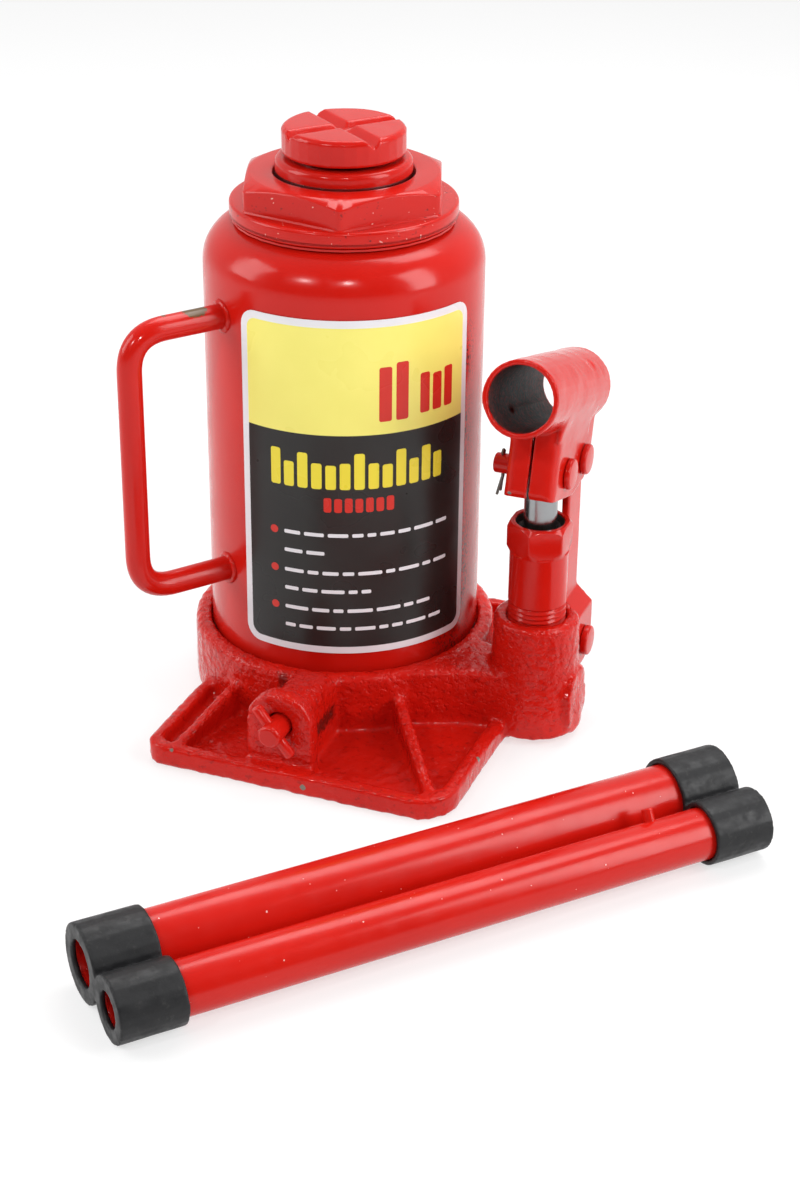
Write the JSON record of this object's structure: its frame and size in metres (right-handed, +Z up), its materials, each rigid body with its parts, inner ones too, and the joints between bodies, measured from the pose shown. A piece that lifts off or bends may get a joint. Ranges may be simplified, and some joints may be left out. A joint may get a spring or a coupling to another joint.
{
  "type": "hydraulic bottle jack",
  "caption": "Upright hydraulic bottle jack with cast base, ram with extension screw, lever pump, release valve, carry handle and a loose two-tube pump handle.",
  "frame": {"origin": "on the tank's axis at the underside of the base casting, where the jack stands on the ground", "axes": "+Z up along the ram, -Y the release valve side, +X the pump side"},
  "size_m": [0.2599, 0.3327, 0.23],
  "materials": {
    "cast_red": "gloss paint on rough casting",
    "red_paint": "gloss",
    "steel": "ground",
    "dark_steel": "satin",
    "copper": "soft copper",
    "rubber": "matte",
    "cap_plastic": "matte",
    "label_film": "printed film"
  },
  "bodies": {
    "base": {"base_casting": "cast_red", "tank": "red_paint", "tank_lower_gasket": "rubber", "tank_upper_gasket": "rubber", "inner_cylinder": "steel", "cylinder_seat_gasket": "copper", "top_nut": "red_paint", "ram_wiper_ring": "rubber", "carry_handle": "red_paint", "front_label": "label_film", "filler_plug": "rubber", "pump_cylinder": "red_paint", "pump_packing": "rubber", "link_low_pin": "red_paint", "link_low_cotter": "dark_steel", "overload_ball": "steel", "overload_spring": "steel", "overload_screw": "dark_steel"},
    "ram": {"ram": "red_paint", "piston_seal": "rubber"},
    "screw_carrier": {"screw_stop_ring": "dark_steel"},
    "screw": {"extension_screw": "red_paint"},
    "plunger": {"pump_plunger": "steel", "plunger_seal": "rubber"},
    "lever": {"handle_socket": "red_paint", "plunger_pin": "red_paint", "plunger_pin_cotter": "dark_steel", "link_top_pin": "red_paint", "link_top_cotter": "dark_steel"},
    "link": {"link_plate_right": "red_paint", "link_plate_left": "red_paint"},
    "valve_ball": {"release_ball": "steel"},
    "valve_spindle": {"release_spindle": "red_paint", "release_cross_pin": "red_paint", "release_packing": "rubber"},
    "suction_ball": {"suction_ball": "steel"},
    "delivery_ball": {"delivery_ball": "steel"},
    "pump_handle": {"handle_tube_large": "red_paint", "handle_tube_small": "red_paint", "handle_lock_stud": "red_paint"},
    "near_cap": {"handle_cap_near": "cap_plastic"},
    "far_cap": {"handle_cap_far": "cap_plastic"}
  },
  "joints": [
    {"name": "ram_lift", "type": "slide", "parent": "base", "child": "ram", "axis": [0, 0, 1], "range_m": [0, 0.15]},
    {"name": "screw_rise", "type": "slide", "parent": "ram", "child": "screw_carrier", "axis": [0, 0, 1], "range_m": [0, 0.0691]},
    {"name": "screw_turn", "type": "hinge", "parent": "screw_carrier", "child": "screw", "pos_m": [0, 0, 0.22], "axis": [0, 0, 1], "range_deg": [0, 4140]},
    {"name": "plunger_slide", "type": "slide", "parent": "base", "child": "plunger", "axis": [0, 0, 1], "range_m": [-0.0075, 0.0082]},
    {"name": "socket_tilt", "type": "hinge", "parent": "plunger", "child": "lever", "pos_m": [0.087, -0.015, 0.1105], "axis": [1, 0, 0], "range_deg": [-22, 20]},
    {"name": "link_swing", "type": "hinge", "parent": "base", "child": "link", "pos_m": [0.087, 0.0055, 0.03], "axis": [1, 0, 0], "range_deg": [-0.8, 0.9]},
    {"name": "release_travel", "type": "slide", "parent": "base", "child": "valve_ball", "axis": [0, -1, 0], "range_m": [0, 0.0015]},
    {"name": "release_turn", "type": "hinge", "parent": "valve_ball", "child": "valve_spindle", "pos_m": [0.0115, -0.09, 0.0245], "axis": [0, -1, 0], "range_deg": [0, 360]},
    {"name": "suction_lift", "type": "slide", "parent": "base", "child": "suction_ball", "axis": [0, 0, 1], "range_m": [0, 0.0015]},
    {"name": "delivery_lift", "type": "slide", "parent": "base", "child": "delivery_ball", "axis": [0, 0, 1], "range_m": [0, 0.0015]},
    {"name": "handle_lift", "type": "slide", "parent": "base", "child": "pump_handle", "axis": [0, 0, 1], "range_m": [0, 0.25]},
    {"name": "near_cap_pull", "type": "slide", "parent": "pump_handle", "child": "near_cap", "axis": [-0.6587, -0.7524, 0], "range_m": [0, 0.06]},
    {"name": "far_cap_pull", "type": "slide", "parent": "pump_handle", "child": "far_cap", "axis": [0.6587, 0.7524, 0], "range_m": [0, 0.06]}
  ],
  "couplings": [
    {"joint": "screw_rise", "follows": "screw_turn", "m_per_rad": 0.00095493},
    {"joint": "plunger_slide", "follows": "socket_tilt", "m_per_rad": -0.021},
    {"joint": "link_swing", "follows": "socket_tilt", "ratio": -0.035},
    {"joint": "release_turn", "follows": "release_travel", "rad_per_m": 4188.8}
  ]
}
